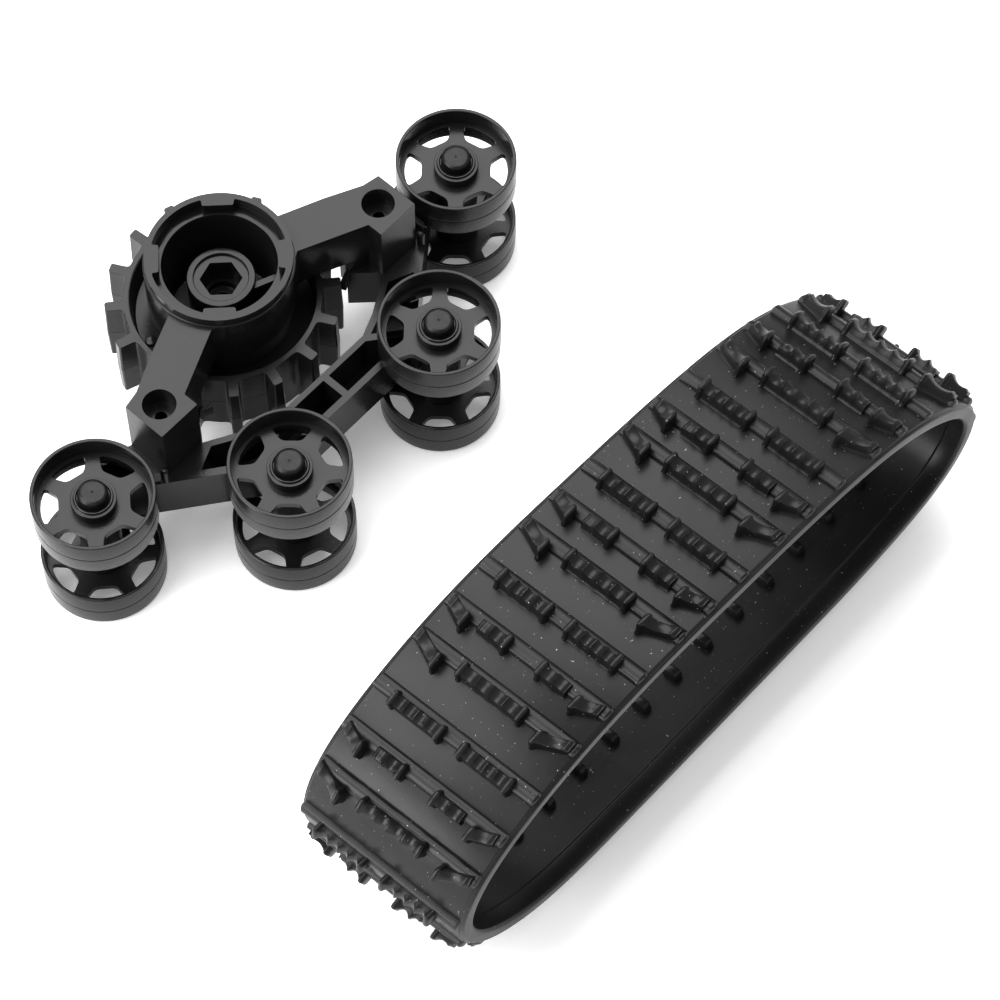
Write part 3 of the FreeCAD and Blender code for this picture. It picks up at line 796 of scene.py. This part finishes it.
def lug_shape(start, end, scallops, knobs=(True, True), slant=0.0, low=-0.4, high=2.1, depth=0.85):
    """The shape of a lug: a knob at either end or both, and crests between concave scallops."""
    inner_start = start + (KNOB_LENGTH if knobs[0] else 0.0)
    inner_end = end - (KNOB_LENGTH if knobs[1] else 0.0)
    period = (inner_end - inner_start) / scallops
    middle = (start + end) / 2

    def shape(across):
        """The height, low side, high side and shift at one place across the band."""
        shift = slant * (across - middle)
        if across < inner_start or across > inner_end:
            into = (across - start) if across < inner_start else (end - across)
            bulge = math.sqrt(max(0.0, math.sin(math.pi * min(1.0, max(0.0, into / KNOB_LENGTH)))))
            height = CREST_HEIGHT + (LUG_HEIGHT - CREST_HEIGHT) * bulge
            return height, low - KNOB_BULGE * bulge, high + KNOB_BULGE * bulge, shift
        phase = ((across - inner_start) / period) % 1.0
        dip = 1 - abs(2 * phase - 1) ** 2.2
        height = CREST_HEIGHT - depth * dip
        # An end without a knob slopes down over its last 0.9 mm.
        for knob, distance in zip(knobs, (across - start, end - across)):
            if not knob:
                height -= 0.9 * (1 - smooth(distance / 0.9))
        return height, low, high, shift

    return shape


def add_row(bm, number):
    """One row of the tread: a rib with its lugs, in one of three patterns."""
    pattern = (number + 1) % 3
    base = LOOP.frame(FIRST_ROW + PITCH * number + ROW_SHIFTS[pattern])
    add_rib(bm, base)

    def pair(start, end, knobs=(True, True), slant=0.0, **words):
        """A lug and its mirror image across the band's centre line."""
        add_bar(bm, base, start, end, lug_shape(start, end, knobs=knobs, slant=slant, **words))
        far, near = TRACK_WIDTH - end, TRACK_WIDTH - start
        mirrored = lug_shape(far, near, knobs=knobs[::-1], slant=-slant, **words)
        add_bar(bm, base, far, near, mirrored)

    edge_lug = {"scallops": 1, "knobs": (False, True), "slant": 0.42, "low": 0.1, "high": 2.6}
    if pattern == 0:
        pair(5.0, 16.1, scallops=4)
    elif pattern == 1:
        pair(8.5, 14.8, scallops=2, knobs=(False, True))
        pair(1.8, 6.5, depth=0.8, **edge_lug)
    else:
        add_bar(bm, base, 11.0, 25.0, lug_shape(11.0, 25.0, scallops=4))
        pair(1.4, 7.6, depth=1.0, **edge_lug)


def add_nub(bm, base, across):
    """A guide nub on the inside of the band."""
    square = rounded(rectangle(-1, 1, -1, 1), radius=0.4)
    loft(bm, [[place_on(base, along * half, across + wide * half * 1.5, out) for along, wide in square]
              for half, out in NUB_SECTIONS])


def add_band(bm):
    """The endless band: lipped edges outside, and a thicker strip along each edge inside."""
    def mirrored(corners):
        """The other edge's corners, in the section's order."""
        return [(TRACK_WIDTH - across, out) for across, out in reversed(corners)]

    inside = [(0.0, 0.5), (0.45, 0.0), (3.7, 0.0), (4.0, 0.45)]
    outside = [(0.75, BAND_THICKNESS), (0.5, BAND_THICKNESS - 0.45), (0.2, BAND_THICKNESS - 0.45),
               (0.0, BAND_THICKNESS - 0.7)]
    corners = inside + mirrored(inside) + mirrored(outside) + outside
    section = rounded(corners, radius=0.15, steps=2)
    stations = ROW_COUNT * STATIONS_PER_ROW
    rings = []
    for number in range(stations):
        base = LOOP.frame(LOOP.length * number / stations)
        rings.append([bm.verts.new(place_on(base, 0.0, across, out)) for across, out in section])
    for number in range(stations):
        here, there = rings[number], rings[(number + 1) % stations]
        for corner in range(len(section)):
            following = (corner + 1) % len(section)
            bm.faces.new((here[corner], here[following], there[following], there[corner]))


def make_track():
    """The rubber track: its band, with the tread outside and a pair of nubs inside between rows."""
    bm = bmesh.new()
    add_band(bm)
    for number in range(ROW_COUNT):
        add_row(bm, number)
        between_rows = LOOP.frame(FIRST_ROW + PITCH * (number + 0.5))
        for across in (NUB_ACROSS, TRACK_WIDTH - NUB_ACROSS):
            add_nub(bm, between_rows, across)
    finish_piece("rubber_track_moulding", bm, "track", TRACK_RUBBER, ["rubber_track"],
                 flat_angle=40)


make_track()

# ---------------------------------------------------------------- floor, light and camera


def make_floor():
    """A wide pale floor under the object."""
    bm = bmesh.new()
    bmesh.ops.create_grid(bm, x_segments=8, y_segments=8, size=6.0)
    mesh = bpy.data.meshes.new("studio_floor")
    bm.to_mesh(mesh)
    bm.free()
    floor = bpy.data.objects.new("studio_floor", mesh)
    floor.location.z = GROUND - 0.2 * MM
    bpy.context.scene.collection.objects.link(floor)
    tree = NodeTree("pale_floor")
    cloud = tree.noise(3.0)
    tree.set("Base Color", tree.ramp(cloud, [(0.3, grey(0.87)), (0.7, grey(0.9))]))
    tree.set("Roughness", 0.8)
    tree.set("Emission Color", (1.0, 1.0, 1.0, 1.0))
    tree.set("Emission Strength", 0.3)
    mesh.materials.append(tree.material)


def add_light(name, place, size, watts):
    """A square soft light that points at the object."""
    light = bpy.data.lights.new(name, "AREA")
    light.shape = "SQUARE"
    light.size = size
    light.energy = watts
    lamp = bpy.data.objects.new(name, light)
    lamp.location = place
    lamp.rotation_euler = (LIGHT_AIM - Vector(place)).to_track_quat("-Z", "Y").to_euler()
    bpy.context.scene.collection.objects.link(lamp)


def make_world():
    """An even white surrounding, and the view's tone."""
    world = bpy.data.worlds.new("studio")
    world.use_nodes = True
    background = world.node_tree.nodes["Background"]
    background.inputs["Color"].default_value = (1.0, 1.0, 1.0, 1.0)
    background.inputs["Strength"].default_value = WORLD_STRENGTH
    bpy.context.scene.world = world
    view = bpy.context.scene.view_settings
    view.view_transform = "Standard"
    view.gamma = VIEW_GAMMA


def make_camera():
    """The camera above the object's front corner, looking steeply down."""
    position = to_row(*CAMERA_PLACE)
    forward = (to_row(*CAMERA_TARGET) - position).normalized()
    right = forward.cross(Vector((0, 0, 1))).normalized()
    up = right.cross(forward)
    roll = math.radians(CAMERA_ROLL)
    across = right * math.cos(roll) + up * math.sin(roll)
    upward = up * math.cos(roll) - right * math.sin(roll)
    camera = bpy.data.cameras.new("camera")
    camera.lens = CAMERA_LENS
    camera.sensor_width = 36.0
    camera.clip_start = 0.01
    holder = bpy.data.objects.new("camera", camera)
    holder.matrix_world = Matrix((across, upward, -forward)).transposed().to_4x4()
    holder.location = position
    bpy.context.scene.collection.objects.link(holder)
    bpy.context.scene.camera = holder


make_floor()
for light_settings in LIGHTS:
    add_light(*light_settings)
make_camera()
make_world()
